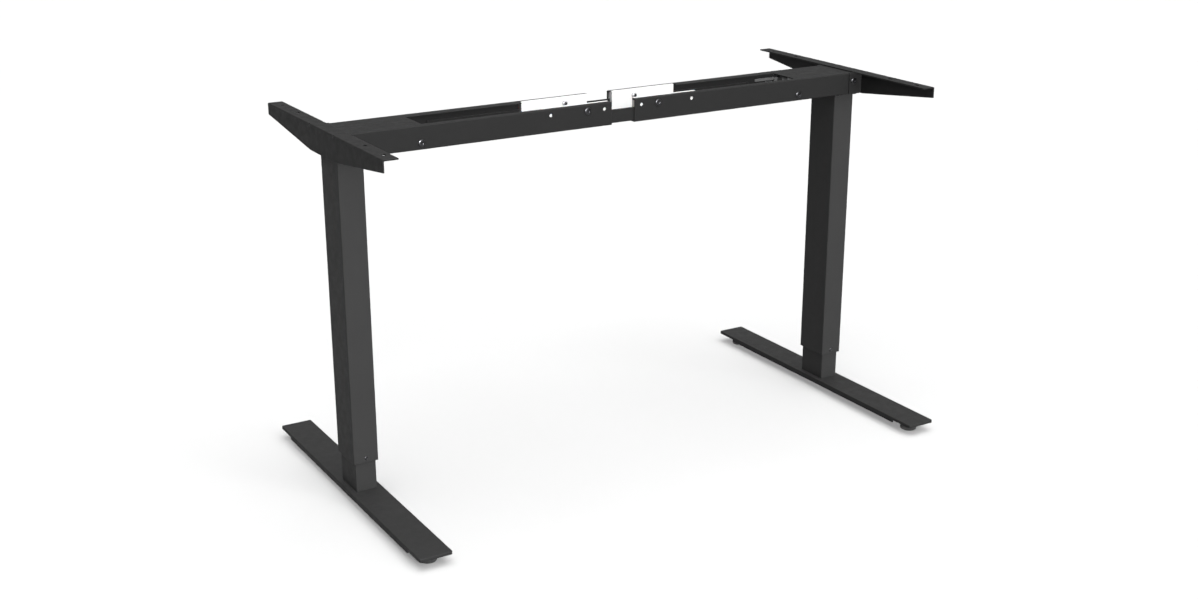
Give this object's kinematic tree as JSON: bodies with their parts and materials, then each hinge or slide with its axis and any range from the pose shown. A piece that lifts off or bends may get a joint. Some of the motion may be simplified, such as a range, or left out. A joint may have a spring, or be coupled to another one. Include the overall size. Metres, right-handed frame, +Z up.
{
  "type": "height adjustable standing desk frame",
  "caption": "Sit-stand desk frame: lifting columns on long flat feet, telescoping crossbeam and side brackets for a tabletop.",
  "frame": {"origin": "on the floor under the middle of the frame at its lowest height", "axes": "+X along the crossbeam to the right column, +Y to the rear edge, +Z up"},
  "size_m": [1.194, 0.68, 0.72],
  "materials": {
    "black_powder_coat": "fine textured matt powder coat",
    "black_steel": "black oxide",
    "zinc_steel": "bright zinc plate",
    "ground_steel": "ground and oiled",
    "white_liner": "smooth white nylon",
    "guide_plastic": "smooth black acetal",
    "nut_plastic": "natural acetal",
    "pad_plastic": "moulded, slightly grained",
    "socket_plastic": "light grey moulded",
    "cast_aluminium": "die cast",
    "bronze": "machined bronze",
    "motor_can": "satin black can"
  },
  "bodies": {
    "left_foot": {"left_foot_shell": "black_powder_coat", "left_foot_doubler": "black_powder_coat", "left_glide_nuts": "zinc_steel", "left_base_bolts": "black_steel", "left_inner_tube": "black_powder_coat", "left_upper_guide": "guide_plastic", "left_spindle_nut": "nut_plastic"},
    "left_half": {"left_outer_tube": "black_powder_coat", "left_lower_guide": "guide_plastic", "left_guide_screws": "black_steel", "left_head_bolts": "black_steel", "left_beam_half": "black_powder_coat", "left_liner_screws": "black_steel", "left_side_bracket": "black_powder_coat", "left_bracket_screws": "black_steel", "left_gearbox_case": "cast_aluminium", "left_motor": "motor_can", "left_motor_cradle": "zinc_steel", "left_cradle_screws": "black_steel", "left_front_liner": "white_liner", "left_rear_liner": "white_liner"},
    "left_spindle": {"left_spindle": "ground_steel", "left_worm_wheel": "bronze"},
    "left_worm": {"left_worm_shaft": "ground_steel"},
    "left_front_pad": {"left_front_glide_pad": "pad_plastic"},
    "left_front_stud": {"left_front_glide_stud": "zinc_steel"},
    "left_rear_pad": {"left_rear_glide_pad": "pad_plastic"},
    "left_rear_stud": {"left_rear_glide_stud": "zinc_steel"},
    "right_foot": {"right_foot_shell": "black_powder_coat", "right_foot_doubler": "black_powder_coat", "right_glide_nuts": "zinc_steel", "right_base_bolts": "black_steel", "right_inner_tube": "black_powder_coat", "right_upper_guide": "guide_plastic", "right_spindle_nut": "nut_plastic"},
    "right_half": {"right_outer_tube": "black_powder_coat", "right_lower_guide": "guide_plastic", "right_guide_screws": "black_steel", "right_head_bolts": "black_steel", "right_beam_half": "black_powder_coat", "right_liner_screws": "black_steel", "right_side_bracket": "black_powder_coat", "right_bracket_screws": "black_steel", "right_gearbox_case": "cast_aluminium", "right_motor": "motor_can", "right_motor_cradle": "zinc_steel", "right_cradle_screws": "black_steel", "right_front_liner": "white_liner", "right_rear_liner": "white_liner", "motor_lead_socket": "socket_plastic"},
    "right_spindle": {"right_spindle": "ground_steel", "right_worm_wheel": "bronze"},
    "right_worm": {"right_worm_shaft": "ground_steel"},
    "right_front_pad": {"right_front_glide_pad": "pad_plastic"},
    "right_front_stud": {"right_front_glide_stud": "zinc_steel"},
    "right_rear_pad": {"right_rear_glide_pad": "pad_plastic"},
    "right_rear_stud": {"right_rear_glide_stud": "zinc_steel"},
    "rail": {"centre_rail": "black_powder_coat"}
  },
  "joints": [
    {"name": "left_height", "type": "slide", "parent": "left_foot", "child": "left_half", "axis": [0, 0, 1], "range_m": [0, 0.46]},
    {"name": "left_width", "type": "slide", "parent": "left_half", "child": "rail", "axis": [1, 0, 0], "range_m": [-0.02, 0.19]},
    {"name": "right_width", "type": "slide", "parent": "rail", "child": "right_half", "axis": [1, 0, 0], "range_m": [-0.02, 0.19]},
    {"name": "right_height", "type": "slide", "parent": "right_half", "child": "right_foot", "axis": [0, 0, -1], "range_m": [0, 0.46]},
    {"name": "left_spindle_spin", "type": "hinge", "parent": "left_half", "child": "left_spindle", "pos_m": [-0.56, 0, 0.4], "axis": [0, 0, 1], "continuous": true},
    {"name": "left_worm_spin", "type": "hinge", "parent": "left_half", "child": "left_worm", "pos_m": [-0.56, 0.0204, 0.697], "axis": [1, 0, 0], "continuous": true},
    {"name": "left_front_glide", "type": "slide", "parent": "left_foot", "child": "left_front_pad", "axis": [0, 0, -1], "range_m": [0, 0.008]},
    {"name": "left_front_stud_turn", "type": "hinge", "parent": "left_front_pad", "child": "left_front_stud", "pos_m": [-0.56, -0.302, 0.01], "axis": [0, 0, 1], "continuous": true},
    {"name": "left_rear_glide", "type": "slide", "parent": "left_foot", "child": "left_rear_pad", "axis": [0, 0, -1], "range_m": [0, 0.008]},
    {"name": "left_rear_stud_turn", "type": "hinge", "parent": "left_rear_pad", "child": "left_rear_stud", "pos_m": [-0.56, 0.302, 0.01], "axis": [0, 0, 1], "continuous": true},
    {"name": "right_spindle_spin", "type": "hinge", "parent": "right_half", "child": "right_spindle", "pos_m": [0.56, 0, 0.4], "axis": [0, 0, 1], "continuous": true},
    {"name": "right_worm_spin", "type": "hinge", "parent": "right_half", "child": "right_worm", "pos_m": [0.56, 0.0204, 0.697], "axis": [1, 0, 0], "continuous": true},
    {"name": "right_front_glide", "type": "slide", "parent": "right_foot", "child": "right_front_pad", "axis": [0, 0, -1], "range_m": [0, 0.008]},
    {"name": "right_front_stud_turn", "type": "hinge", "parent": "right_front_pad", "child": "right_front_stud", "pos_m": [0.56, -0.302, 0.01], "axis": [0, 0, 1], "continuous": true},
    {"name": "right_rear_glide", "type": "slide", "parent": "right_foot", "child": "right_rear_pad", "axis": [0, 0, -1], "range_m": [0, 0.008]},
    {"name": "right_rear_stud_turn", "type": "hinge", "parent": "right_rear_pad", "child": "right_rear_stud", "pos_m": [0.56, 0.302, 0.01], "axis": [0, 0, 1], "continuous": true}
  ],
  "couplings": [
    {"joint": "right_height", "follows": "left_height", "ratio": 1},
    {"joint": "left_spindle_spin", "follows": "left_height", "rad_per_m": 785.4},
    {"joint": "left_worm_spin", "follows": "left_height", "rad_per_m": 15708},
    {"joint": "left_front_stud_turn", "follows": "left_front_glide", "rad_per_m": 5026.5},
    {"joint": "left_rear_stud_turn", "follows": "left_rear_glide", "rad_per_m": 5026.5},
    {"joint": "right_spindle_spin", "follows": "left_height", "rad_per_m": 785.4},
    {"joint": "right_worm_spin", "follows": "left_height", "rad_per_m": 15708},
    {"joint": "right_front_stud_turn", "follows": "right_front_glide", "rad_per_m": 5026.5},
    {"joint": "right_rear_stud_turn", "follows": "right_rear_glide", "rad_per_m": 5026.5}
  ]
}
